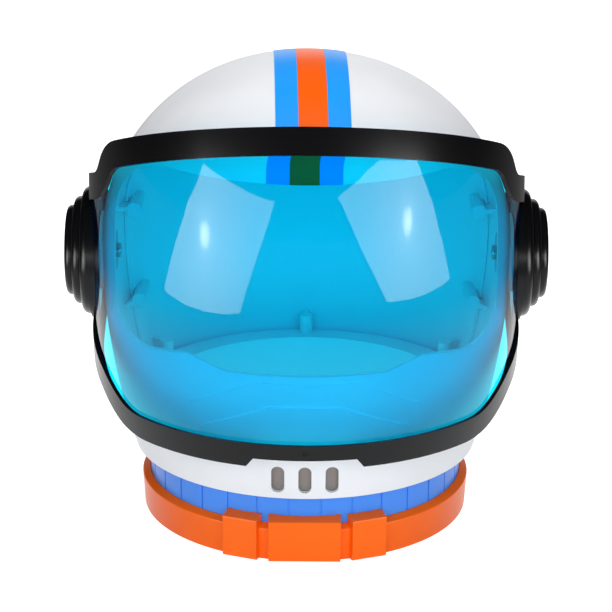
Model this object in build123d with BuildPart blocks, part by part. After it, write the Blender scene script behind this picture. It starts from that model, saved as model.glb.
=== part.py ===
# Toy astronaut helmet with a lifting visor, in millimetres.
# The face looks along -Y, +Z is up, and the visor turns about an axis along X.
# The origin is the centre of the neck opening, on the underside of the neck ring.
from build123d import *
import math
import os

os.makedirs("parts", exist_ok=True)

# Overall sizes
crown_height = 282.5
pivot_height = 160.5
neck_radius = 91.5

# Shell: a round crown, rounded shoulders and sides that draw in to the foot
shell_half_width = 124.25
crown_radius = 150.0
shoulder_radius = 114.0
foot_radius = 105.5
foot_height = 42.0
shell_wall = 3.0
# heading at which each turned surface starts, so that its join is clear of every cut
skin_start = 60.0

# Seam between the front and the rear shell, behind the pivots
seam_depth = 45.0
lip_wall = 1.6
lip_gap = 0.3
lip_reach = 4.0
post_radius = 4.6
post_length = 16.0
post_inset = 5.2
post_web = 3.0
post_heights = (250.0, 177.0, 118.0)
seam_screw_floor = 6.0

# Face opening in the front shell, seen from the front
opening_half_width = 112.5
opening_top = 232.0
opening_bottom = 122.0
opening_top_corner = 36.0
opening_bottom_corner = 20.0
hump_half_width = 68.0
hump_height = 9.0
dip_half_width = 46.0
dip_height = 2.0
hump_fillet = 7.0

# Stepped mouth guard below the opening: half width and height of each top edge,
# half width and height where its shoulders end, and how far it stands proud
guard_steps = (
    (30.0, 119.5, 70.0, 99.0, 1.2),
    (20.0, 105.0, 62.0, 87.0, 2.4),
)
guard_foot = 74.0
guard_fillet = 9.0

# Breathing slots and the plate behind them
slot_width = 7.6
slot_height = 18.4
slot_pitch = 15.8
slot_centre_height = 55.2
backing_wall = 1.2
backing_gap = 0.3
backing_half_width = 27.0
backing_margin = 3.6
stake_radius = 1.2
stake_inset = 2.6

# Stripe stuck over the crown, from the opening to the nape
stripe_orange_width = 16.8
stripe_blue_width = 13.2
stripe_film = 0.3
stripe_gap = 0.05
stripe_end_height = 62.0
# corners of the stripe's middle line: distance ahead of the pivots, and shift to the right
stripe_path = ((124.0, -1.2), (95.0, -1.2), (79.0, 3.7), (-124.0, -1.5))
stripe_bend = 14.0

# Collar, ribbed outside, that carries the shell on the neck ring
collar_radius = 96.5
collar_floor = 2.6
collar_top = 72.0
collar_flange = 3.0
collar_flange_gap = 0.5
panel_count = 32
groove_width = 1.3
groove_depth = 0.7
groove_top = 60.0
collar_screw_count = 6
collar_post_radius = 4.2
collar_post_length = 12.0
collar_screw_inset = 4.6

# Neck ring
ring_foot_radius = 100.4
ring_top_radius = 101.6
ring_height = 22.0
ring_shoulder_drop = 2.2
ring_seat_gap = 0.4
ring_edge = 1.0
ring_screw_count = 6
ring_screw_radius_at = 94.1

# Three raised blocks on the front of the neck ring
block_half_widths = (10.8, 21.3, 10.8)
block_faces = (104.6, 103.0, 104.6)
block_angle = 21.6
block_top = 28.6
block_front_top = 25.6
block_lift = 0.4
block_gap = 0.1
block_edge = 1.0
peg_radius = 1.6
peg_reach = 2.4
peg_height = 10.0

# Pivots
pad_radius = 24.0
pad_face = 124.6
pad_back = 117.0
bush_radius = 9.0
spindle_radius = 6.95
running_gap = 0.05
washer_radius = 20.0
washer_hole = 10.0
retainer_radius = 12.0
retainer_wall = 1.2
end_play = 0.2

# Visor surface: half round across and gently curved up and down, with flat sides
visor_front = 148.4
visor_half_width = 127.2
visor_upright_radius = 348.0
visor_middle = 12.0
visor_rear = 60.0
lens_wall = 2.0

# Side outline of the visor: reach ahead of the pivot and height above it
visor_reach = 170.0
brow_reach = 69.3
brow_rise = 86.0
brow_slope = 22.6
cheek_reach = 60.0
cheek_rise = 66.0
jaw_reach = 54.0
jaw_drop = 68.9
chin_reach = 82.6
chin_drop = 86.9
hub_radius = 46.0
brow_fillet = 29.0
cheek_fillet = 12.0
jaw_fillet = 22.0
chin_fillet = 44.0

# Visor frame
frame_band = 15.6
frame_wall = 2.2
frame_bead = 2.8
frame_depth = 4.0
frame_gap = 0.05
bead_gap = 0.2
ear_disc_radius = 41.0
ear_disc_rise = 0.4
notch_top_half = 29.6
notch_foot_half = 33.6
notch_rise = 5.7
frame_screw_height = 10.6

# Knobs: for each rib its radius, where it starts and ends beyond the frame, and its rounding
knob_ribs = ((38.8, 0.0, 5.8, 4.2), (32.8, 6.3, 11.0, 3.4), (27.4, 11.5, 15.5, 2.8))
knob_groove = 1.6
knob_wall = 2.4
knob_dish = 0.9
knob_dish_radius = 20.0

# Rivet at the bottom of the frame
rivet_radius = 0.9
rivet_head_radius = 1.5
rivet_head = 0.5

# Screws
ring_screw_head_radius = 2.0
ring_screw_head = 1.2
ring_screw_floor = 1.2
screw_radius = 1.3
screw_head_radius = 2.7
screw_head = 1.9
screw_length = 16.0
short_screw_length = 9.0
drive_radius = 1.2
drive_depth = 1.0
drive_sides = 6
screw_gap = 0.06
pivot_screw_radius = 2.0
pivot_screw_head_radius = 4.4
pivot_screw_head = 2.6
pivot_screw_round = 0.9
pivot_screw_length = 16.0
hole_gap = 0.3

# One overrun serves every cut that passes right through
overrun = 60.0

# Places that follow from the sizes above
crown_centre = crown_height - crown_radius
shoulder_offset = shell_half_width - shoulder_radius
waist_height = crown_centre + math.sqrt((crown_radius - shoulder_radius) ** 2 - shoulder_offset ** 2)
shoulder_angle = math.degrees(math.atan2(waist_height - crown_centre, shoulder_offset))
side_drop = waist_height - foot_height
side_draw = shell_half_width - foot_radius
side_radius = (side_drop ** 2 + side_draw ** 2) / (2 * side_draw)
axle_axis = Axis((0, 0, pivot_height), (1, 0, 0))
skin_heading = (math.cos(math.radians(skin_start)), math.sin(math.radians(skin_start)), 0)
skin_plane = Plane(origin=(0, 0, 0), x_dir=skin_heading, z_dir=(skin_heading[1], -skin_heading[0], 0))
visor_height = pivot_height + visor_middle
visor_axis = Axis((0, visor_upright_radius - visor_front, visor_height), (1, 0, 0))
visor_centre = visor_half_width - visor_front
knob_face = visor_half_width + frame_wall + ear_disc_rise
slot_places = [(slot_pitch * step, slot_centre_height) for step in (-1, 0, 1)]


def skin_radius(height, offset):
    """Radius of the shell's surface, moved out by offset, between the foot and the shoulder."""
    if height > waist_height:
        reach = shoulder_radius + offset
        return shoulder_offset + math.sqrt(reach ** 2 - (height - waist_height) ** 2)
    reach = side_radius + offset
    return shell_half_width - side_radius + math.sqrt(reach ** 2 - (waist_height - height) ** 2)


def skin_arcs(offset):
    """The three arcs of the shell's half section, from the crown down to the foot."""
    side_angle = math.degrees(math.asin(side_drop / (side_radius + offset)))
    crown = CenterArc((0, crown_centre), crown_radius + offset, 90, shoulder_angle - 90)
    CenterArc((shoulder_offset, waist_height), shoulder_radius + offset, shoulder_angle, -shoulder_angle)
    side = CenterArc((shell_half_width - side_radius, waist_height), side_radius + offset, 0, -side_angle)
    return crown @ 0, side @ 1


def skin(outside, inside):
    """The layer between two offsets from the shell's outer surface."""
    with BuildPart() as layer:
        with BuildSketch(skin_plane):
            with BuildLine():
                outer_top, outer_foot = skin_arcs(outside)
                inner_top, inner_foot = skin_arcs(inside)
                Line(outer_top, inner_top)
                Line(outer_foot, inner_foot)
            make_face()
        revolve(axis=Axis.Z)
    return layer.part


def core(offset):
    """Everything inside the shell's surface moved out by offset."""
    with BuildPart() as inside:
        with BuildSketch(skin_plane):
            with BuildLine():
                top, foot = skin_arcs(offset)
                Polyline(foot, (0, foot_height), top)
            make_face()
        revolve(axis=Axis.Z)
    return inside.part


def seam_slab(front, rear):
    """A slab of space across the whole helmet between two depths."""
    with BuildPart() as slab:
        with BuildSketch(Plane.XZ.offset(-front)):
            with Locations((0, crown_height / 2)):
                Rectangle(4 * shell_half_width, 2 * crown_height)
        extrude(amount=front - rear)
    return slab.part


# Seam posts: each height has one post on either side, just inside the wall
seam_post_places = []
for post_height in post_heights:
    wall_at_seam = math.sqrt(skin_radius(post_height, -shell_wall) ** 2 - seam_depth ** 2)
    seam_post_places += [(side * (wall_at_seam - post_inset), post_height) for side in (-1, 1)]

# Each post faces inward, toward the middle of the shell
seam_post_spots = [
    Location(place, math.degrees(math.atan2(waist_height - place[1], -place[0])))
    for place in seam_post_places
]

with BuildPart() as seam_posts:
    with BuildSketch(Plane.XZ.offset(post_length - seam_depth)):
        with Locations(*seam_post_spots):
            Circle(post_radius)
            Rectangle(2 * post_inset, post_web, align=(Align.MAX, Align.CENTER))
    extrude(amount=-overrun)

# Collar posts hang inside the shell, above the collar's flange
collar_seat = collar_top - collar_flange
collar_flange_radius = skin_radius(collar_seat, -shell_wall - lip_gap - lip_wall) - collar_flange_gap
collar_screw_circle = collar_flange_radius - collar_screw_inset
collar_angles = [360 * (count + 0.5) / collar_screw_count for count in range(collar_screw_count)]

with BuildPart() as collar_posts:
    with BuildSketch(Plane.XY.offset(collar_top)):
        with PolarLocations(collar_screw_circle, collar_screw_count, start_angle=collar_angles[0]):
            Circle(collar_post_radius)
            Rectangle(overrun, post_web, align=(Align.MIN, Align.CENTER))
    extrude(amount=collar_post_length)

with BuildPart() as pivot_pads:
    for side in (-1, 1):
        with BuildSketch(Plane.YZ.offset(side * pad_face)):
            with Locations((0, pivot_height)):
                Circle(pad_radius)
        extrude(amount=side * (pad_back - pad_face))

# Mouth guard: two stepped plates that rise from the chin
guard_plates = []
for top_half, top_level, low_half, low_level, proud in guard_steps:
    with BuildPart() as guard_plate:
        add(skin(proud, -shell_wall / 2))
        with BuildSketch(Plane.XZ):
            with BuildLine():
                Polyline(
                    (-top_half, top_level),
                    (top_half, top_level),
                    (low_half, low_level),
                    (low_half, guard_foot),
                    (-low_half, guard_foot),
                    (-low_half, low_level),
                    close=True,
                )
            make_face()
            fillet(vertices().sort_by(Axis.Y)[2:], guard_fillet)
        extrude(amount=visor_front, mode=Mode.INTERSECT)
    guard_plates.append(guard_plate.part)


# Stakes hold the plate behind the breathing slots
stake_places = [
    (side * (backing_half_width - stake_inset), slot_centre_height + level * (slot_height / 2))
    for side in (-1, 1)
    for level in (-1, 1)
]
stake_start = skin_radius(foot_height, -shell_wall - backing_gap - 2 * backing_wall) - stake_radius

with BuildPart() as stakes:
    with BuildSketch(Plane.XZ.offset(stake_start)):
        with Locations(*stake_places):
            Circle(stake_radius)
    extrude(amount=overrun)

with BuildPart() as shell_cavity:
    add(core(-shell_wall))
    add(seam_posts.part, mode=Mode.SUBTRACT)
    add(collar_posts.part, mode=Mode.SUBTRACT)
    add(pivot_pads.part, mode=Mode.SUBTRACT)
    add(stakes.part, mode=Mode.SUBTRACT)

with BuildPart() as whole_shell:
    add(core(0))
    for plate in guard_plates:
        add(plate)
    add(pivot_pads.part)
    add(shell_cavity.part, mode=Mode.SUBTRACT)

with BuildPart() as shell_front:
    add(whole_shell.part)
    split(bisect_by=Plane.XZ.offset(-seam_depth), keep=Keep.TOP)
    with BuildSketch(Plane.XZ):
        with BuildLine():
            Polyline(
                (-opening_half_width, opening_top),
                (opening_half_width, opening_top),
                (opening_half_width, opening_bottom),
                (hump_half_width, opening_bottom + hump_height),
                (dip_half_width, opening_bottom + dip_height),
                (-dip_half_width, opening_bottom + dip_height),
                (-hump_half_width, opening_bottom + hump_height),
                (-opening_half_width, opening_bottom),
                close=True,
            )
        make_face()
        fillet(vertices().group_by(Axis.Y)[-1], opening_top_corner)
        fillet(vertices().group_by(Axis.Y)[0], opening_bottom_corner)
        fillet(vertices().filter_by(lambda v: abs(abs(v.X) - hump_half_width) < hump_fillet / 2), hump_fillet)
        fillet(vertices().filter_by(lambda v: abs(abs(v.X) - dip_half_width) < hump_fillet / 2), hump_fillet)
    extrude(amount=visor_front, mode=Mode.SUBTRACT)
    with BuildSketch(Plane.XZ):
        with Locations(*slot_places):
            SlotOverall(slot_height, slot_width, rotation=90)
    extrude(amount=visor_front, mode=Mode.SUBTRACT)
    with BuildSketch(Plane.YZ):
        with Locations((0, pivot_height)):
            Circle(bush_radius + screw_gap)
    extrude(amount=visor_half_width, both=True, mode=Mode.SUBTRACT)
    with BuildSketch(Plane.XZ.offset(-seam_depth)):
        with Locations(*seam_post_places):
            Circle(screw_radius + screw_gap)
    extrude(amount=post_length - post_web, mode=Mode.SUBTRACT)
    with BuildSketch(Plane.XY.offset(collar_top)):
        with PolarLocations(collar_screw_circle, collar_screw_count, start_angle=collar_angles[0]):
            Circle(screw_radius + screw_gap)
    extrude(amount=collar_post_length - collar_flange, mode=Mode.SUBTRACT)
shell_front.part.label = "shell_front"

lip_inside = -shell_wall - lip_gap - lip_wall
with BuildPart() as seam_lip:
    add(skin(-shell_wall - lip_gap, lip_inside))
    add(seam_slab(seam_depth - lip_reach, seam_depth + lip_reach), mode=Mode.INTERSECT)

with BuildPart() as lip_root:
    add(skin(-shell_wall / 2, lip_inside))
    add(seam_slab(seam_depth, seam_depth + lip_reach), mode=Mode.INTERSECT)

with BuildPart() as shell_rear:
    add(whole_shell.part)
    split(bisect_by=Plane.XZ.offset(-seam_depth), keep=Keep.BOTTOM)
    add(lip_root.part)
    add(seam_lip.part)
    # the lip makes room for the front shell's posts
    with BuildSketch(Plane.XZ.offset(-seam_depth)):
        with Locations(*seam_post_spots):
            Circle(post_radius + lip_gap)
            Rectangle(2 * post_inset, post_web + 2 * lip_gap, align=(Align.MAX, Align.CENTER))
    extrude(amount=post_length, mode=Mode.SUBTRACT)
    with BuildSketch(Plane.XZ.offset(-seam_depth)):
        with Locations(*seam_post_places):
            Circle(screw_radius + hole_gap)
    extrude(amount=-overrun, mode=Mode.SUBTRACT)
    with BuildSketch(Plane.XZ.offset(-seam_depth - seam_screw_floor)):
        with Locations(*seam_post_places):
            Circle(screw_head_radius + hole_gap)
    extrude(amount=-overrun, mode=Mode.SUBTRACT)
    with BuildSketch(Plane.XY.offset(collar_top)):
        with PolarLocations(collar_screw_circle, collar_screw_count, start_angle=collar_angles[0]):
            Circle(screw_radius + screw_gap)
    extrude(amount=collar_post_length - collar_flange, mode=Mode.SUBTRACT)
shell_rear.part.label = "shell_rear"


def stripe(inner_edge, outer_edge):
    """A band of film over the crown between two distances from its middle line."""
    first = [(shift + inner_edge, -reach) for reach, shift in stripe_path]
    second = [(shift + outer_edge, -reach) for reach, shift in stripe_path]
    with BuildPart() as film:
        add(skin(stripe_gap + stripe_film, stripe_gap))
        with BuildSketch():
            with BuildLine():
                Polyline(*first, *reversed(second), close=True)
            make_face()
            fillet(vertices().sort_by(Axis.Y)[2:-2], stripe_bend)
        extrude(amount=2 * crown_height, mode=Mode.INTERSECT)
        with BuildSketch(Plane.YZ):
            with BuildLine():
                Polyline(
                    (-visor_front, foot_height),
                    (visor_front, foot_height),
                    (visor_front, stripe_end_height),
                    (0, stripe_end_height),
                    (0, opening_top),
                    (-visor_front, opening_top),
                    close=True,
                )
            make_face()
        extrude(amount=overrun, both=True, mode=Mode.SUBTRACT)
    return film.part


with BuildPart() as stripe_orange:
    add(stripe(-stripe_orange_width / 2, stripe_orange_width / 2))
stripe_orange.part.label = "stripe_orange"

stripe_blue_edge = stripe_orange_width / 2 + stripe_gap
with BuildPart() as stripe_blue:
    add(stripe(-stripe_blue_edge - stripe_blue_width, -stripe_blue_edge))
    add(stripe(stripe_blue_edge, stripe_blue_edge + stripe_blue_width))
stripe_blue.part.label = "stripe_blue"

with BuildPart() as vent_backing:
    add(skin(-shell_wall - backing_gap, -shell_wall - backing_gap - backing_wall))
    with BuildSketch(Plane.XZ):
        with Locations((0, slot_centre_height)):
            Rectangle(2 * backing_half_width, slot_height + 2 * backing_margin)
    extrude(amount=visor_front, mode=Mode.INTERSECT)
    with BuildSketch(Plane.XZ):
        with Locations(*stake_places):
            Circle(stake_radius + backing_gap / 2)
    extrude(amount=visor_front, mode=Mode.SUBTRACT)
vent_backing.part.label = "vent_backing"

with BuildPart() as collar:
    with BuildSketch(Plane.XZ):
        with BuildLine():
            Polyline(
                (neck_radius, collar_floor),
                (collar_radius, collar_floor),
                (collar_radius, collar_top - collar_flange),
                (collar_flange_radius, collar_top - collar_flange),
                (collar_flange_radius, collar_top),
                (neck_radius, collar_top),
                close=True,
            )
        make_face()
    revolve(axis=Axis.Z)
    with BuildSketch(Plane.XY.offset(collar_floor)):
        with PolarLocations(collar_radius, panel_count, start_angle=180 / panel_count):
            Rectangle(2 * groove_depth, groove_width)
    extrude(amount=groove_top - collar_floor, mode=Mode.SUBTRACT)
    with BuildSketch(Plane.XY.offset(collar_top)):
        with PolarLocations(collar_screw_circle, collar_screw_count, start_angle=collar_angles[0]):
            Circle(screw_radius + hole_gap)
    extrude(amount=-2 * collar_flange, mode=Mode.SUBTRACT)
    with BuildSketch(Plane.XY.offset(collar_floor)):
        with PolarLocations(ring_screw_radius_at, ring_screw_count):
            Circle(screw_radius + screw_gap)
    extrude(amount=short_screw_length, mode=Mode.SUBTRACT)
collar.part.label = "collar"


def ring_outline(gap):
    """The neck ring's outer half section, moved out by gap."""
    return [
        (ring_foot_radius + gap, 0),
        (ring_top_radius + gap, ring_height - ring_shoulder_drop + gap / 2),
        (collar_radius + ring_seat_gap, ring_height + gap),
    ]


block_angles = (-90 - block_angle, -90, -90 + block_angle)

with BuildPart() as neck_ring:
    with BuildSketch(Plane.XZ):
        with BuildLine():
            Polyline(
                *ring_outline(0),
                (collar_radius + ring_seat_gap, collar_floor),
                (neck_radius, collar_floor),
                (neck_radius, 0),
                close=True,
            )
        make_face()
        fillet(vertices().sort_by(Axis.X)[-1], ring_edge)
    revolve(axis=Axis.Z)
    with BuildSketch():
        with PolarLocations(ring_screw_radius_at, ring_screw_count):
            Circle(screw_radius + hole_gap)
    extrude(amount=2 * collar_floor, mode=Mode.SUBTRACT)
    with BuildSketch():
        with PolarLocations(ring_screw_radius_at, ring_screw_count):
            Circle(ring_screw_head_radius + hole_gap)
    extrude(amount=collar_floor - ring_screw_floor, mode=Mode.SUBTRACT)
    for angle in block_angles:
        peg_plane = Plane(
            origin=(0, 0, peg_height),
            x_dir=(-math.sin(math.radians(angle)), math.cos(math.radians(angle)), 0),
            z_dir=(math.cos(math.radians(angle)), math.sin(math.radians(angle)), 0),
        )
        with BuildSketch(peg_plane.offset(ring_foot_radius - peg_reach)):
            Circle(peg_radius + block_gap)
        extrude(amount=2 * peg_reach, mode=Mode.SUBTRACT)
neck_ring.part.label = "neck_ring"

with BuildPart() as ring_envelope:
    with BuildSketch(Plane.XZ):
        with BuildLine():
            Polyline(
                *ring_outline(block_gap),
                (collar_radius + ring_seat_gap, crown_height),
                (0, crown_height),
                (0, -overrun),
                (ring_foot_radius + block_gap, -overrun),
                close=True,
            )
        make_face()
    revolve(axis=Axis.Z)


def neck_block(half_width, face, angle):
    """A block that hooks over the neck ring and shows a flat face."""
    heading = math.radians(angle)
    section_plane = Plane(
        origin=(0, 0, 0),
        x_dir=(math.cos(heading), math.sin(heading), 0),
        z_dir=(math.sin(heading), -math.cos(heading), 0),
    )
    with BuildPart() as block:
        with BuildSketch(section_plane):
            with BuildLine():
                Polyline(
                    (neck_radius, block_lift),
                    (face, block_lift),
                    (face, block_front_top),
                    (neck_radius, block_top),
                    close=True,
                )
            make_face()
            fillet(vertices().group_by(Axis.X)[-1], block_edge)
        extrude(amount=half_width, both=True)
        add(ring_envelope.part, mode=Mode.SUBTRACT)
        peg_plane = Plane(
            origin=(0, 0, peg_height),
            x_dir=(-math.sin(heading), math.cos(heading), 0),
            z_dir=(math.cos(heading), math.sin(heading), 0),
        )
        with BuildSketch(peg_plane.offset(ring_foot_radius - peg_reach + block_gap)):
            Circle(peg_radius)
        extrude(amount=peg_reach + block_edge)
    return block.part


with BuildPart() as block_left:
    add(neck_block(block_half_widths[0], block_faces[0], block_angles[0]))
block_left.part.label = "block_left"

with BuildPart() as block_centre:
    add(neck_block(block_half_widths[1], block_faces[1], block_angles[1]))
block_centre.part.label = "block_centre"

with BuildPart() as block_right:
    add(neck_block(block_half_widths[2], block_faces[2], block_angles[2]))
block_right.part.label = "block_right"


def visor_body(offset):
    """The space behind the visor's outer surface moved out by offset."""
    ear = visor_half_width + offset
    with BuildPart() as body:
        with BuildSketch(Plane.XY.offset(visor_height)):
            with BuildLine():
                CenterArc((0, visor_centre), ear, 180, 180)
                Polyline((ear, visor_centre), (ear, visor_rear), (-ear, visor_rear), (-ear, visor_centre))
            make_face()
        revolve(axis=visor_axis)
    return body.part


def tangent_point(reach, rise):
    """Where a line from a point touches the hub's circle, on its rear side."""
    distance = math.hypot(reach, rise)
    heading = math.atan2(abs(rise), reach) - math.asin(hub_radius / distance)
    return -hub_radius * math.sin(heading), math.copysign(hub_radius * math.cos(heading), rise)


brow_end = brow_rise + (visor_reach - brow_reach) * math.tan(math.radians(brow_slope))
visor_outline = [
    (visor_reach, brow_end),
    (brow_reach, brow_rise),
    (cheek_reach, cheek_rise),
    tangent_point(cheek_reach, cheek_rise),
    tangent_point(jaw_reach, -jaw_drop),
    (jaw_reach, -jaw_drop),
    (chin_reach, -chin_drop),
    (visor_reach, -chin_drop),
]
visor_fillets = (
    (brow_reach, brow_fillet),
    (cheek_reach, cheek_fillet),
    (jaw_reach, jaw_fillet),
    (chin_reach, chin_fillet),
)

# Side views of the visor: its whole outline, and the same drawn in by a margin
with BuildSketch(Plane.YZ) as visor_side:
    with BuildLine():
        Polyline(*[(-reach, pivot_height + rise) for reach, rise in visor_outline], close=True)
    make_face()
    for corner_reach, corner_round in visor_fillets:
        fillet(vertices().sort_by(lambda v: abs(v.X + corner_reach))[0], corner_round)
    with Locations((0, pivot_height)):
        Circle(hub_radius)


def drawn_in(margin):
    """The visor's side outline, drawn in by a margin."""
    with BuildSketch(Plane.YZ) as inner:
        add(visor_side.sketch_local)
        offset(amount=-margin)
    return inner.sketch_local


def notch(margin):
    """The notch at the bottom of the visor, seen from the front and grown by a margin."""
    notch_foot = pivot_height - chin_drop
    with BuildPart() as cut:
        with BuildSketch(Plane.XZ):
            with BuildLine():
                Polyline(
                    (-notch_foot_half - margin, notch_foot - overrun),
                    (-notch_foot_half - margin, notch_foot),
                    (-notch_top_half - margin, notch_foot + notch_rise + margin),
                    (notch_top_half + margin, notch_foot + notch_rise + margin),
                    (notch_foot_half + margin, notch_foot),
                    (notch_foot_half + margin, notch_foot - overrun),
                    close=True,
                )
            make_face()
        extrude(amount=visor_reach)
    return cut.part


def visor_layer(outside, inside, outline):
    """The layer between two offsets from the visor's surface, within a side outline."""
    with BuildPart() as layer:
        add(visor_body(outside))
        add(visor_body(inside), mode=Mode.SUBTRACT)
        with BuildSketch(Plane.YZ):
            add(outline)
        extrude(amount=shell_half_width * 2, both=True, mode=Mode.INTERSECT)
    return layer.part


with BuildSketch(Plane.YZ) as band_side:
    add(visor_side.sketch_local)
    add(drawn_in(frame_band), mode=Mode.SUBTRACT)

with BuildSketch(Plane.YZ) as bead_side:
    add(visor_side.sketch_local)
    add(drawn_in(frame_bead), mode=Mode.SUBTRACT)

# Drive posts on the knobs pass through the frame and the lens, so they turn together
drive_post_radius = knob_wall
drive_post_circle = (knob_ribs[0][0] + knob_ribs[1][0]) / 2 - knob_wall
drive_post_places = [(0, pivot_height + side * drive_post_circle) for side in (-1, 1)]
rivet_height = pivot_height - chin_drop + frame_screw_height


def surface_depth(height, offset):
    """Distance ahead of the pivot of the visor's surface, on its middle line."""
    reach = visor_upright_radius + offset
    return math.sqrt(reach ** 2 - (height - visor_height) ** 2) - visor_upright_radius + visor_front


with BuildPart() as notch_bead:
    add(visor_layer(frame_wall, -frame_depth, visor_side.sketch_local))
    add(notch(frame_bead), mode=Mode.INTERSECT)

# Flat discs on the frame's sides, which the knobs sit on
with BuildPart() as ear_discs:
    for side in (-1, 1):
        with BuildSketch(Plane.YZ.offset(side * knob_face)):
            with Locations((0, pivot_height)):
                Circle(ear_disc_radius)
        extrude(amount=-side * 2 * frame_wall)
    add(visor_body(frame_gap), mode=Mode.SUBTRACT)

with BuildPart() as visor_frame:
    add(visor_layer(frame_wall, frame_gap, band_side.sketch_local))
    add(ear_discs.part)
    add(visor_layer(frame_wall, -frame_depth, bead_side.sketch_local))
    add(notch_bead.part)
    add(notch(0), mode=Mode.SUBTRACT)
    with BuildSketch(Plane.YZ):
        with Locations((0, pivot_height)):
            Circle(spindle_radius + hole_gap)
        with Locations(*drive_post_places):
            Circle(drive_post_radius + hole_gap / 2)
    extrude(amount=shell_half_width * 2, both=True, mode=Mode.SUBTRACT)
    with BuildSketch(Plane.XZ):
        with Locations((0, rivet_height)):
            Circle(rivet_radius + screw_gap)
    extrude(amount=visor_reach, mode=Mode.SUBTRACT)
    with BuildSketch(Plane.XZ.offset(surface_depth(rivet_height, 0) + frame_wall / 2)):
        with Locations((0, rivet_height)):
            Circle(rivet_head_radius + screw_gap)
    extrude(amount=overrun, mode=Mode.SUBTRACT)
visor_frame.part.label = "visor_frame"

with BuildPart() as lens:
    add(visor_layer(0, -lens_wall, drawn_in(frame_bead + bead_gap)))
    add(notch(frame_bead + bead_gap), mode=Mode.SUBTRACT)
    with BuildSketch(Plane.YZ):
        with Locations((0, pivot_height)):
            Circle(spindle_radius + hole_gap)
        with Locations(*drive_post_places):
            Circle(drive_post_radius + hole_gap / 2)
    extrude(amount=shell_half_width * 2, both=True, mode=Mode.SUBTRACT)
    with BuildSketch(Plane.XZ):
        with Locations((0, rivet_height)):
            Circle(rivet_radius + screw_gap)
    extrude(amount=visor_reach, mode=Mode.SUBTRACT)
lens.part.label = "lens"

rivet_seat = surface_depth(rivet_height, 0) + frame_wall / 2
rivet_back = surface_depth(rivet_height, -lens_wall)

with BuildPart() as frame_rivet:
    with BuildSketch(Plane.XZ.offset(rivet_back)):
        with Locations((0, rivet_height)):
            Circle(rivet_radius)
    extrude(amount=rivet_seat - rivet_back)
    with BuildSketch(Plane.XZ.offset(rivet_seat)):
        with Locations((0, rivet_height)):
            Circle(rivet_head_radius)
    extrude(amount=rivet_head)
frame_rivet.part.label = "frame_rivet"

# Knobs: three stepped ribs, hollow behind, with the spindle that the visor turns on
spindle_end = pad_back - end_play
boss_radius = spindle_radius + 2 * pivot_screw_radius
knob_front = knob_face + knob_ribs[-1][2]


def knob_profile():
    """Half section of a knob's outside, from its back edge to the middle of its dish."""
    points = [(knob_face, 0), (knob_face, knob_ribs[0][0])]
    for (radius, _, end, _), (next_radius, next_start, _, _) in zip(knob_ribs, knob_ribs[1:]):
        groove_radius = next_radius - knob_groove
        points += [
            (knob_face + end, radius),
            (knob_face + end, groove_radius),
            (knob_face + next_start, groove_radius),
            (knob_face + next_start, next_radius),
        ]
    dish_floor = knob_front - knob_dish
    return points + [
        (knob_front, knob_ribs[-1][0]),
        (knob_front, knob_dish_radius),
        (dish_floor, knob_dish_radius - 2 * knob_dish),
        (dish_floor, 0),
    ]


def knob_cavity():
    """Half section of the stepped hollow behind the ribs."""
    points = [(knob_face, boss_radius), (knob_face, knob_ribs[0][0] - knob_wall)]
    for (_, _, end, _), (next_radius, _, _, _) in zip(knob_ribs, knob_ribs[1:]):
        floor = knob_face + end - knob_wall
        points += [(floor, points[-1][1]), (floor, next_radius - knob_groove - knob_wall)]
    return points + [(knob_front - knob_wall, points[-1][1]), (knob_front - knob_wall, boss_radius)]


drive_post_start = visor_half_width - lens_wall + end_play
drive_post_end = knob_face + knob_ribs[0][2] - knob_wall / 2

with BuildPart() as knob_right:
    with BuildSketch(Plane.XY.offset(pivot_height)):
        with BuildLine():
            Polyline(*knob_profile(), close=True)
        make_face()
        for rib_radius, _, rib_end, rounding in knob_ribs:
            corner = (knob_face + rib_end, rib_radius)
            fillet(vertices().sort_by(lambda v: math.hypot(v.X - corner[0], v.Y - corner[1]))[0], rounding)
    revolve(axis=axle_axis)
    with BuildSketch(Plane.XY.offset(pivot_height)):
        with BuildLine():
            Polyline(*knob_cavity(), close=True)
        make_face()
    revolve(axis=axle_axis, mode=Mode.SUBTRACT)
    with BuildSketch(Plane.YZ.offset(spindle_end)):
        with Locations((0, pivot_height)):
            Circle(spindle_radius)
    extrude(amount=knob_face - spindle_end)
    with BuildSketch(Plane.YZ.offset(drive_post_start)):
        with Locations(*drive_post_places):
            Circle(drive_post_radius)
    extrude(amount=drive_post_end - drive_post_start)
    with BuildSketch(Plane.YZ.offset(spindle_end)):
        with Locations((0, pivot_height)):
            Circle(pivot_screw_radius + screw_gap)
    extrude(amount=pivot_screw_length, mode=Mode.SUBTRACT)
knob_right.part.label = "knob_right"

with BuildPart() as knob_left:
    mirror(knob_right.part, about=Plane.YZ)
knob_left.part.label = "knob_left"


def pivot_ring(face, wall, outer, inner):
    """A ring round the pivot axis on the right side, from its face outward."""
    with BuildPart() as ring:
        with BuildSketch(Plane.YZ.offset(face)):
            with Locations((0, pivot_height)):
                Circle(outer)
                Circle(inner, mode=Mode.SUBTRACT)
        extrude(amount=wall)
    return ring.part


bush_right_form = pivot_ring(pad_back, pad_face - pad_back, bush_radius, spindle_radius + running_gap)
washer_wall = visor_half_width - lens_wall - pad_face
washer_form = pivot_ring(pad_face, washer_wall, washer_radius, washer_hole)
retainer_face = spindle_end - retainer_wall
retainer_form = pivot_ring(retainer_face, retainer_wall, retainer_radius, pivot_screw_radius + hole_gap)

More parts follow.
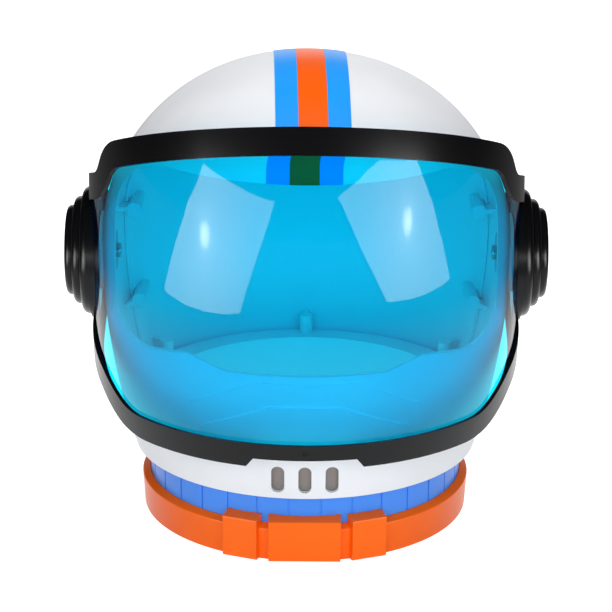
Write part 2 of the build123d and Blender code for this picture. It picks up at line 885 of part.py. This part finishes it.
with BuildPart() as pivot_screw_form:
    with BuildSketch(Plane.YZ.offset(retainer_face)):
        with Locations((0, pivot_height)):
            Circle(pivot_screw_radius)
    extrude(amount=pivot_screw_length)
    with BuildSketch(Plane.YZ.offset(retainer_face)):
        with Locations((0, pivot_height)):
            Circle(pivot_screw_head_radius)
    extrude(amount=-pivot_screw_head)
    fillet(edges().filter_by(GeomType.CIRCLE).sort_by(Axis.X)[0], pivot_screw_round)
    with BuildSketch(Plane.YZ.offset(retainer_face - pivot_screw_head)):
        with Locations((0, pivot_height)):
            RegularPolygon(pivot_screw_radius, drive_sides)
    extrude(amount=drive_depth, mode=Mode.SUBTRACT)

pivot_pieces = []
for form_name, form in (
    ("pivot_bush", bush_right_form),
    ("friction_washer", washer_form),
    ("retainer", retainer_form),
    ("pivot_screw", pivot_screw_form.part),
):
    with BuildPart() as right_piece:
        add(form)
    right_piece.part.label = form_name + "_right"
    with BuildPart() as left_piece:
        mirror(form, about=Plane.YZ)
    left_piece.part.label = form_name + "_left"
    pivot_pieces += [right_piece, left_piece]


def screw(head_radius, head, length):
    """A screw with its head's underside at the origin, pointing along +Z."""
    with BuildPart() as form:
        with BuildSketch():
            Circle(screw_radius)
        extrude(amount=length)
        with BuildSketch():
            Circle(head_radius)
        extrude(amount=-head)
        with BuildSketch(Plane.XY.offset(-head)):
            RegularPolygon(drive_radius, drive_sides)
        extrude(amount=drive_depth, mode=Mode.SUBTRACT)
    return form.part


seam_screw_form = screw(screw_head_radius, screw_head, screw_length)
collar_screw_form = screw(screw_head_radius, screw_head, short_screw_length)
ring_screw_form = screw(ring_screw_head_radius, ring_screw_head, short_screw_length)

with BuildPart(Plane.XZ.offset(-seam_depth - seam_screw_floor)) as shell_screws:
    with Locations(*seam_post_places):
        add(seam_screw_form)
shell_screws.part.label = "shell_screws"

with BuildPart() as collar_screws:
    with Locations((0, 0, collar_top - collar_flange)):
        with PolarLocations(collar_screw_circle, collar_screw_count, start_angle=collar_angles[0]):
            add(collar_screw_form)
collar_screws.part.label = "collar_screws"

with BuildPart() as ring_screws:
    with Locations((0, 0, collar_floor - ring_screw_floor)):
        with PolarLocations(ring_screw_radius_at, ring_screw_count):
            add(ring_screw_form)
ring_screws.part.label = "ring_screws"

pieces = [
    shell_front,
    shell_rear,
    shell_screws,
    stripe_orange,
    stripe_blue,
    vent_backing,
    collar,
    collar_screws,
    neck_ring,
    ring_screws,
    block_left,
    block_centre,
    block_right,
    lens,
    visor_frame,
    frame_rivet,
    knob_left,
    knob_right,
    *pivot_pieces,
]
for piece in pieces:
    export_step(piece.part, f"parts/{piece.part.label}.step")
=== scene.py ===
import math

import bpy
from mathutils import Matrix, Vector


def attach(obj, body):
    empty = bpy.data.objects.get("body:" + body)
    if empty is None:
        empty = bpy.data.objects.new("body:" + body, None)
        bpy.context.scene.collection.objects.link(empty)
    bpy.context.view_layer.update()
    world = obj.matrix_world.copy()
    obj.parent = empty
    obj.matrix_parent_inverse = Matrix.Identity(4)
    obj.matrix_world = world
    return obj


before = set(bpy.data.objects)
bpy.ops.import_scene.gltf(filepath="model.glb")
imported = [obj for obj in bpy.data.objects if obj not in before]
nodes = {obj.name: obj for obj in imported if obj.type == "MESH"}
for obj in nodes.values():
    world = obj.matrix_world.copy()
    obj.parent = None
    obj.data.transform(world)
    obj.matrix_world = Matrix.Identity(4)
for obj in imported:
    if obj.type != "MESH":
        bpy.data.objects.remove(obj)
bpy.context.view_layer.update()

scene = bpy.context.scene

# Lengths and places are in metres, heights from the floor
PIVOT = Vector((0, 0, 0.1605))  # middle of the line that the visor turns about
MIDDLE = (0, 0, 0.15)


def linear(*rgb):
    """A colour written as on screen, 0 to 255, in the linear values that shaders take."""
    return tuple((c / 255 / 12.92) if c <= 10 else (((c / 255) + 0.055) / 1.055) ** 2.4
                 for c in rgb) + (1.0,)


def grey(level):
    return (level, level, level, 1)


class NodeTree:
    """The nodes of a material or world under construction, with short ways to add and link them."""

    def __init__(self, owner, output):
        owner.use_nodes = True
        self.tree = owner.node_tree
        self.tree.nodes.clear()
        self.out = self.add(output)

    def add(self, kind, **values):
        """A new node. Each value goes to its property of that name, or else to its socket."""
        node = self.tree.nodes.new("ShaderNode" + kind)
        for key, value in values.items():
            if hasattr(node, key):
                setattr(node, key, value)
            else:
                node.inputs[key.replace("_", " ")].default_value = value
        return node

    def link(self, source, target):
        self.tree.links.new(source, target)

    def either(self, first, second):
        """Whether one of two rays' flags is set."""
        most = self.add("Math", operation="MAXIMUM")
        self.link(first, most.inputs[0])
        self.link(second, most.inputs[1])
        return most.outputs["Value"]

    def finish(self, surface):
        self.link(surface, self.out.inputs["Surface"])


class Paint(NodeTree):
    """A new material under construction."""

    def __init__(self, name):
        self.material = bpy.data.materials.new(name)
        super().__init__(self.material, "OutputMaterial")


# Moulded plastic
PLASTIC_IOR = 1.5
WAVE_SCALE = 14.0      # slow unevenness of surface, colour and gloss
WAVE_STRENGTH = 0.02
WAVE_DEPTH = 0.002
PEEL_DEPTH = 0.0002
DRIFT = 0.04           # how far the colour drifts, as a share of it
DRIFT_LOW = 0.3        # noise where the drift starts and ends
DRIFT_HIGH = 0.7
GLOSS_SPREAD = 0.04    # how far the roughness drifts
INWARD = -0.2          # cosine to the way out, under which a face belongs to the inside


def moulded(name, colour, rough, peel_scale=900.0, peel_strength=0.06, specular=0.5, inside=None,
            inside_from=(0, 0, 0)):
    """Moulded plastic: a faint orange peel, slow unevenness, and a little drift in colour and gloss.

    With a colour for the inside, faces that look towards inside_from take it."""
    p = Paint(name)
    shader = p.add("BsdfPrincipled", IOR=PLASTIC_IOR, Specular_IOR_Level=specular)
    place = p.add("TexCoord")
    slow = p.add("TexNoise", Scale=WAVE_SCALE, Detail=3.0, Roughness=0.5)
    fine = p.add("TexNoise", Scale=peel_scale, Detail=2.0, Roughness=0.6)
    p.link(place.outputs["Object"], slow.inputs["Vector"])
    p.link(place.outputs["Object"], fine.inputs["Vector"])
    ramp = p.add("ValToRGB")
    low, high = ramp.color_ramp.elements
    low.position = DRIFT_LOW
    high.position = DRIFT_HIGH
    low.color = tuple(c * (1 - DRIFT) for c in colour[:3]) + (1,)
    high.color = tuple(min(1, c * (1 + DRIFT)) for c in colour[:3]) + (1,)
    p.link(slow.outputs["Fac"], ramp.inputs["Fac"])
    if inside:
        spoke = p.add("VectorMath", operation="SUBTRACT")
        spoke.inputs[1].default_value = inside_from
        way_out = p.add("VectorMath", operation="NORMALIZE")
        facing = p.add("VectorMath", operation="DOT_PRODUCT")
        inward = p.add("Math", operation="LESS_THAN")
        inward.inputs[1].default_value = INWARD
        choice = p.add("Mix", data_type="RGBA")
        choice.inputs["B"].default_value = inside
        p.link(place.outputs["Object"], spoke.inputs[0])
        p.link(spoke.outputs["Vector"], way_out.inputs[0])
        p.link(way_out.outputs["Vector"], facing.inputs[0])
        p.link(place.outputs["Normal"], facing.inputs[1])
        p.link(facing.outputs["Value"], inward.inputs[0])
        p.link(inward.outputs["Value"], choice.inputs["Factor"])
        p.link(ramp.outputs["Color"], choice.inputs["A"])
        p.link(choice.outputs["Result"], shader.inputs["Base Color"])
    else:
        p.link(ramp.outputs["Color"], shader.inputs["Base Color"])
    gloss = p.add("MapRange", To_Min=rough - GLOSS_SPREAD, To_Max=rough + GLOSS_SPREAD)
    p.link(slow.outputs["Fac"], gloss.inputs["Value"])
    p.link(gloss.outputs["Result"], shader.inputs["Roughness"])
    wave = p.add("Bump", Strength=WAVE_STRENGTH, Distance=WAVE_DEPTH)
    peel = p.add("Bump", Strength=peel_strength, Distance=PEEL_DEPTH)
    p.link(slow.outputs["Fac"], wave.inputs["Height"])
    p.link(fine.outputs["Fac"], peel.inputs["Height"])
    p.link(wave.outputs["Normal"], peel.inputs["Normal"])
    p.link(peel.outputs["Normal"], shader.inputs["Normal"])
    p.finish(shader.outputs["BSDF"])
    return p.material


# Clear blue plastic
CLEAR_TINT = linear(80, 238, 255)  # seen square on
EDGE_TINT = linear(50, 72, 170)    # seen edge on
EDGE_LOW = 0.86                    # how far a face turns away before its tint deepens
EDGE_HIGH = 0.985
HAZE_TINT = linear(0, 120, 250)
HAZE_SHARE = 0.01
LENS_ROUGH = 0.015
LENS_IOR = 1.3
MOST_SHINE = 0.42                  # the largest share that the surface reflects


def tinted_lens(name):
    """A tinted see-through, deeper where it is seen edge on, with a clean surface gloss."""
    p = Paint(name)
    through = p.add("BsdfTransparent")
    edge = p.add("LayerWeight", Blend=0.5)
    depth = p.add("ValToRGB")
    depth.color_ramp.interpolation = "EASE"
    low, high = depth.color_ramp.elements
    low.position = EDGE_LOW
    low.color = CLEAR_TINT
    high.position = EDGE_HIGH
    high.color = EDGE_TINT
    p.link(edge.outputs["Facing"], depth.inputs["Fac"])
    p.link(depth.outputs["Color"], through.inputs["Color"])
    haze = p.add("BsdfDiffuse", Color=HAZE_TINT)
    body = p.add("MixShader", Fac=HAZE_SHARE)
    p.link(through.outputs["BSDF"], body.inputs[1])
    p.link(haze.outputs["BSDF"], body.inputs[2])
    # Only the outer side of a face shines, so light that leaves the plastic isn't reflected again
    shine = p.add("BsdfGlossy", Roughness=LENS_ROUGH)
    fresnel = p.add("Fresnel", IOR=LENS_IOR)
    capped = p.add("Math", operation="MINIMUM")
    capped.inputs[1].default_value = MOST_SHINE
    side = p.add("NewGeometry")
    outer = p.add("Math", operation="SUBTRACT")
    outer.inputs[0].default_value = 1.0
    share = p.add("Math", operation="MULTIPLY")
    p.link(fresnel.outputs["Fac"], capped.inputs[0])
    p.link(side.outputs["Backfacing"], outer.inputs[1])
    p.link(capped.outputs["Value"], share.inputs[0])
    p.link(outer.outputs["Value"], share.inputs[1])
    whole = p.add("MixShader")
    p.link(share.outputs["Value"], whole.inputs["Fac"])
    p.link(body.outputs["Shader"], whole.inputs[1])
    p.link(shine.outputs["BSDF"], whole.inputs[2])
    p.finish(whole.outputs["Shader"])
    return p.material


# Plated steel
MARK_SCALE = 1400.0
MARK_STRENGTH = 0.1
MARK_DEPTH = 0.0001
MARK_SHADE = 0.85      # colour in the turning marks, as a share of the metal's


def metal(name, colour, rough):
    """Plated steel with fine turning marks."""
    p = Paint(name)
    shader = p.add("BsdfPrincipled", Metallic=1.0, Roughness=rough)
    place = p.add("TexCoord")
    marks = p.add("TexNoise", Scale=MARK_SCALE, Detail=2.0)
    p.link(place.outputs["Object"], marks.inputs["Vector"])
    ramp = p.add("ValToRGB")
    dark, light = ramp.color_ramp.elements
    dark.color = tuple(c * MARK_SHADE for c in colour[:3]) + (1,)
    light.color = colour
    p.link(marks.outputs["Fac"], ramp.inputs["Fac"])
    p.link(ramp.outputs["Color"], shader.inputs["Base Color"])
    bump = p.add("Bump", Strength=MARK_STRENGTH, Distance=MARK_DEPTH)
    p.link(marks.outputs["Fac"], bump.inputs["Height"])
    p.link(bump.outputs["Normal"], shader.inputs["Normal"])
    p.finish(shader.outputs["BSDF"])
    return p.material


paints = {
    "shell": moulded("shell_plastic", linear(233, 235, 239), 0.38, peel_strength=0.10, specular=0.35,
                     inside=linear(242, 242, 243), inside_from=(0, 0, 0.13)),
    "orange_film": moulded("orange_film", linear(255, 96, 2), 0.30, peel_scale=600.0, specular=0.2),
    "blue_film": moulded("blue_film", linear(30, 156, 252), 0.30, peel_scale=600.0, specular=0.2),
    # Painted shade: the vent backing is coloured the brownish grey that the white inside shows in shade,
    # warmed by light off the orange ring
    "vent_shade_paint": moulded("vent_backing_painted_shade", linear(128, 120, 116), 0.6),
    "collar": moulded("collar_plastic", linear(60, 138, 244), 0.34, specular=0.35,
                      inside=linear(240, 241, 244), inside_from=(0, 0, 0.3)),
    "ring": moulded("ring_plastic", linear(255, 104, 4), 0.32, specular=0.2),
    "frame": moulded("frame_plastic", linear(11, 11, 13), 0.24, peel_scale=700.0, specular=0.18),
    "lens": tinted_lens("lens_plastic"),
    "steel": metal("screw_steel", linear(190, 190, 192), 0.35),
    "nylon": moulded("bush_nylon", linear(228, 226, 216), 0.5),
    "rubber": moulded("washer_rubber", linear(28, 28, 28), 0.7),
}
wears = {
    "shell": ("shell_front", "shell_rear"),
    "orange_film": ("stripe_orange",),
    "blue_film": ("stripe_blue",),
    "vent_shade_paint": ("vent_backing",),
    "collar": ("collar",),
    "ring": ("neck_ring", "block_left", "block_centre", "block_right"),
    "frame": ("visor_frame", "knob_left", "knob_right", "frame_rivet"),
    "lens": ("lens",),
    "steel": ("shell_screws", "collar_screws", "ring_screws", "retainer_left", "retainer_right",
              "pivot_screw_left", "pivot_screw_right"),
    "nylon": ("pivot_bush_left", "pivot_bush_right"),
    "rubber": ("friction_washer_left", "friction_washer_right"),
}
for paint, names in wears.items():
    for name in names:
        nodes[name].data.materials.clear()
        nodes[name].data.materials.append(paints[paint])


# The stripe's solids stop just short of the shell's rearmost line. A thin piece of each film closes that gap.
SHELL_WAIST = 0.16701         # height where the shell is widest
SHELL_HALF_WIDTH = 0.12425
SHOULDER_MIDDLE = 0.01025     # over the waist, an arc about this distance from the axis
SHOULDER_RADIUS = 0.114
SIDE_RADIUS = 0.42611         # under the waist, a flatter arc
PATCH_INNER = 0.00002         # the patch's faces, outwards from the shell
PATCH_OUTER = 0.00006
PATCH_BOTTOM = 0.1465
PATCH_TOP = 0.1785
PATCH_COLUMNS = 12
PATCH_ROWS = 48
ORANGE_LEFT = -0.0099
ORANGE_RIGHT = 0.0069
BLUE_RIGHT = 0.0092


def shell_radius(height, off):
    """The shell's radius at a height, grown outwards by off."""
    rise = height - SHELL_WAIST
    if rise >= 0:
        return SHOULDER_MIDDLE + math.sqrt((SHOULDER_RADIUS + off) ** 2 - rise ** 2)
    return SHELL_HALF_WIDTH - SIDE_RADIUS + math.sqrt((SIDE_RADIUS + off) ** 2 - rise ** 2)


def film_patch(name, left, right, material):
    """A closed thin sheet on the back of the shell, between two sideways places."""
    row = PATCH_COLUMNS + 1
    layer = row * (PATCH_ROWS + 1)
    points, faces = [], []
    for off in (PATCH_INNER, PATCH_OUTER):
        for j in range(PATCH_ROWS + 1):
            height = PATCH_BOTTOM + (PATCH_TOP - PATCH_BOTTOM) * j / PATCH_ROWS
            for i in range(row):
                x = left + (right - left) * i / PATCH_COLUMNS
                points.append((x, math.sqrt(shell_radius(height, off) ** 2 - x * x), height))
    for j in range(PATCH_ROWS):
        for i in range(PATCH_COLUMNS):
            a = j * row + i
            faces.append((a, a + 1, a + row + 1, a + row))
            faces.append((layer + a, layer + a + row, layer + a + row + 1, layer + a + 1))
    rim = (list(range(row))
           + [(j + 1) * row - 1 for j in range(1, PATCH_ROWS + 1)]
           + [PATCH_ROWS * row + i for i in range(PATCH_COLUMNS - 1, -1, -1)]
           + [j * row for j in range(PATCH_ROWS - 1, 0, -1)])
    for a, b in zip(rim, rim[1:] + rim[:1]):
        faces.append((b, a, layer + a, layer + b))
    mesh = bpy.data.meshes.new(name)
    mesh.from_pydata(points, [], faces)
    mesh.polygons.foreach_set("use_smooth", [True] * len(faces))
    mesh.materials.append(material)
    piece = bpy.data.objects.new(name, mesh)
    scene.collection.objects.link(piece)
    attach(piece, "shell")


film_patch("stripe_orange_back", ORANGE_LEFT, ORANGE_RIGHT, paints["orange_film"])
film_patch("stripe_blue_back", ORANGE_RIGHT, BLUE_RIGHT, paints["blue_film"])

# Floor: lit to white for the camera and for gloss, with the object's shadow on it
FLOOR_SIZE = 12
FLOOR_GAP = 0.0002     # how far the floor lies under the object
FLOOR_WHITE = 0.8
FLOOR_LIFT = 0.8

bpy.ops.mesh.primitive_plane_add(size=FLOOR_SIZE, location=(0, 0, -FLOOR_GAP))
floor = bpy.context.object
floor.name = "floor"
p = Paint("floor_white")
matt = p.add("BsdfDiffuse", Color=grey(FLOOR_WHITE))
lift = p.add("Emission")
rays = p.add("LightPath")
level = p.add("Math", operation="MULTIPLY")
level.inputs[1].default_value = FLOOR_LIFT
p.link(p.either(rays.outputs["Is Camera Ray"], rays.outputs["Is Glossy Ray"]), level.inputs[0])
p.link(level.outputs["Value"], lift.inputs["Strength"])
total = p.add("AddShader")
p.link(matt.outputs["BSDF"], total.inputs[0])
p.link(lift.outputs["Emission"], total.inputs[1])
p.finish(total.outputs["Shader"])
floor.data.materials.append(p.material)

# World: white to the camera, to gloss and through clear plastic, and a softer fill for the rest
WORLD_FILL = 0.28

world = bpy.data.worlds.new("studio")
scene.world = world
sky = NodeTree(world, "OutputWorld")
white = sky.add("Background", Color=grey(1), Strength=1.0)
fill = sky.add("Background", Color=grey(1), Strength=WORLD_FILL)
rays = sky.add("LightPath")
direct = sky.either(rays.outputs["Is Camera Ray"], rays.outputs["Is Glossy Ray"])
mix = sky.add("MixShader")
sky.link(sky.either(direct, rays.outputs["Is Transmission Ray"]), mix.inputs["Fac"])
sky.link(fill.outputs["Background"], mix.inputs[1])
sky.link(white.outputs["Background"], mix.inputs[2])
sky.finish(mix.outputs["Shader"])

# Lamps: a softbox on either side of the face, one above, one behind, and a weak one up through the neck.
# Each has a centre, the place that it looks at, its width and height, and its watts.
FACE = (0, 0.05, 0.15)
LAMPS = {
    "softbox_left": ((-0.45, -1.38, 0.51), FACE, (0.93, 0.82), 7.0),
    "softbox_right": ((0.45, -1.38, 0.51), FACE, (0.93, 0.82), 7.0),
    "softbox_top": ((0.0, -0.3, 1.3), MIDDLE, (1.2, 1.2), 9.0),
    "softbox_rear": ((0.3, 1.4, 0.9), MIDDLE, (1.2, 1.0), 7.0),
    "neck_glow": ((0.0, 0.0, 0.004), (0, 0, 0.2), (0.12, 0.12), 0.06),
}
for name, (centre, aim, (width, height), watts) in LAMPS.items():
    light = bpy.data.lights.new(name, "AREA")
    light.shape = "RECTANGLE"
    light.size = width
    light.size_y = height
    light.energy = watts
    lamp = bpy.data.objects.new(name, light)
    scene.collection.objects.link(lamp)
    turn = (Vector(aim) - Vector(centre)).to_track_quat("-Z", "Y").to_matrix()
    lamp.matrix_world = Matrix.Translation(centre) @ turn.to_4x4()
    lamp.visible_camera = False
    lamp.visible_glossy = False

# What gloss sees of the studio: the faces of the two softboxes, in front of a dark room
CLOTH_LEVEL = 9.0
BULB_LEVEL = 45.0
CLOTH_STOPS = (        # brightness of a softbox's cloth by distance from the place in front of its bulb
    (0.0, BULB_LEVEL),
    (0.012, BULB_LEVEL * 0.8),
    (0.035, CLOTH_LEVEL * 1.7),
    (0.09, CLOTH_LEVEL * 1.25),
    (0.25, CLOTH_LEVEL * 0.85),
)
LEFT_BULB = (-0.414, -0.396, 0.160)
LEFT_FACE = ((-0.440, -0.390, 0.295), (-0.168, -0.660, 0.260), (-0.291, -0.498, 0.009),
             (-0.584, -0.201, 0.010))
RIGHT_BULB = (0.420, -0.400, 0.187)
RIGHT_FACE = ((0.334, -0.506, 0.334), (0.472, -0.364, 0.299), (0.601, -0.197, 0.030),
              (0.341, -0.457, 0.036), (0.163, -0.668, 0.277))
ROOM_GREY = 0.02
ROOM_RADIUS = 3.0
ROOM_SPAN = 156        # degrees from straight in front of the face to the room's open back
ROOM_SWEEP = 180       # degrees from the floor at one side, over the top, to the floor at the other
ROOM_STEPS = 24
FAR_HEIGHT = 0.0005
FAR_START = 0.3        # distances from the axis between which the floor darkens
FAR_END = 0.62
FAR_NEAR_LEVEL = 1.6
FAR_LEVEL = 0.22
FAR_STEPS = 48


def stage_sheet(name, corners, faces, material):
    """A sheet of the studio that only gloss sees."""
    mesh = bpy.data.meshes.new(name)
    mesh.from_pydata(corners, [], faces)
    sheet = bpy.data.objects.new(name, mesh)
    scene.collection.objects.link(sheet)
    mesh.materials.append(material)
    sheet.visible_camera = False
    sheet.visible_diffuse = False
    sheet.visible_transmission = False
    sheet.visible_volume_scatter = False
    sheet.visible_shadow = False


def box_face(name, bulb):
    """The cloth of a softbox, brightest in front of its bulb."""
    p = Paint(name)
    place = p.add("TexCoord")
    gap = p.add("VectorMath", operation="DISTANCE")
    gap.inputs[1].default_value = bulb
    p.link(place.outputs["Object"], gap.inputs[0])
    reach = CLOTH_STOPS[-1][0]
    ramp = p.add("ValToRGB")
    ramp.color_ramp.interpolation = "EASE"
    ramp.color_ramp.elements[0].position = 0.0
    ramp.color_ramp.elements[1].position = 1.0
    for at, _ in CLOTH_STOPS[1:-1]:
        ramp.color_ramp.elements.new(at / reach)
    for element, (at, level) in zip(ramp.color_ramp.elements, CLOTH_STOPS):
        element.position = at / reach
        element.color = grey(level / BULB_LEVEL)
    span = p.add("MapRange", From_Max=reach)
    p.link(gap.outputs["Value"], span.inputs["Value"])
    p.link(span.outputs["Result"], ramp.inputs["Fac"])
    glow = p.add("Emission", Strength=BULB_LEVEL)
    p.link(ramp.outputs["Color"], glow.inputs["Color"])
    p.finish(glow.outputs["Emission"])
    return p.material


def room_material():
    p = Paint("dark_room")
    p.finish(p.add("BsdfDiffuse", Color=grey(ROOM_GREY)).outputs["BSDF"])
    return p.material


def far_floor_material():
    """The floor as gloss sees it: lit round the object, and darker away from it."""
    p = Paint("far_floor")
    place = p.add("TexCoord")
    span = p.add("VectorMath", operation="LENGTH")
    fade = p.add("MapRange", interpolation_type="SMOOTHSTEP", From_Min=FAR_START, From_Max=FAR_END,
                 To_Min=FAR_NEAR_LEVEL, To_Max=FAR_LEVEL)
    glow = p.add("Emission")
    p.link(place.outputs["Object"], span.inputs[0])
    p.link(span.outputs["Value"], fade.inputs["Value"])
    p.link(fade.outputs["Result"], glow.inputs["Strength"])
    p.finish(glow.outputs["Emission"])
    return p.material


for name, corners, bulb in (("softbox_left", LEFT_FACE, LEFT_BULB),
                            ("softbox_right", RIGHT_FACE, RIGHT_BULB)):
    one_face = (tuple(range(len(corners))),)
    stage_sheet(name + "_face", corners, one_face, box_face(name + "_cloth", bulb))

spans = [math.radians(ROOM_SPAN * j / ROOM_STEPS) for j in range(ROOM_STEPS + 1)]
sweeps = [math.radians(ROOM_SWEEP * i / ROOM_STEPS) for i in range(ROOM_STEPS + 1)]
corners = [(ROOM_RADIUS * math.sin(span) * math.cos(sweep),
            -ROOM_RADIUS * math.cos(span),
            ROOM_RADIUS * math.sin(span) * math.sin(sweep)) for span in spans for sweep in sweeps]
row = ROOM_STEPS + 1
faces = [(row * j + i, row * j + i + 1, row * j + i + row + 1, row * j + i + row)
         for j in range(ROOM_STEPS) for i in range(ROOM_STEPS)]
stage_sheet("dark_room", corners, faces, room_material())

turns = [math.radians(360 * i / FAR_STEPS) for i in range(FAR_STEPS)]
corners = [(radius * math.cos(a), radius * math.sin(a), FAR_HEIGHT) for radius in (FAR_START, ROOM_RADIUS)
           for a in turns]
faces = [(i, (i + 1) % FAR_STEPS, FAR_STEPS + (i + 1) % FAR_STEPS, FAR_STEPS + i)
         for i in range(FAR_STEPS)]
stage_sheet("far_floor", corners, faces, far_floor_material())

# Camera, at the photograph's angle: it looks down on the visor's pivots, with a slight roll
TILT = math.radians(17.6)
ROLL = math.radians(0.37)
REACH = 1.464          # from the camera to the middle between the pivots
PICTURE = 612          # pixels across
FOCAL = 2400           # the lens's focal length in pixels
PIVOT_RISE = 55        # how many pixels the pivots lie over the picture's middle
SENSOR = 36.0          # millimetres
CLIP_START = 0.05
CLIP_END = 50.0

dip = TILT + math.atan(PIVOT_RISE / FOCAL)
ahead = Vector((0, math.cos(dip), -math.sin(dip)))
above = Vector((0, math.sin(dip), math.cos(dip)))
aside = Vector((1, 0, 0))
right = aside * math.cos(ROLL) + above * math.sin(ROLL)
top = above * math.cos(ROLL) - aside * math.sin(ROLL)
place = PIVOT + Vector((0, -REACH * math.cos(TILT), REACH * math.sin(TILT)))
camera = bpy.data.objects.new("camera", bpy.data.cameras.new("camera"))
scene.collection.objects.link(camera)
camera.matrix_world = Matrix.Translation(place) @ Matrix((right, top, -ahead)).transposed().to_4x4()
camera.data.sensor_width = SENSOR
camera.data.lens = SENSOR * FOCAL / PICTURE
camera.data.clip_start = CLIP_START
camera.data.clip_end = CLIP_END
scene.camera = camera
scene.view_settings.view_transform = "Standard"
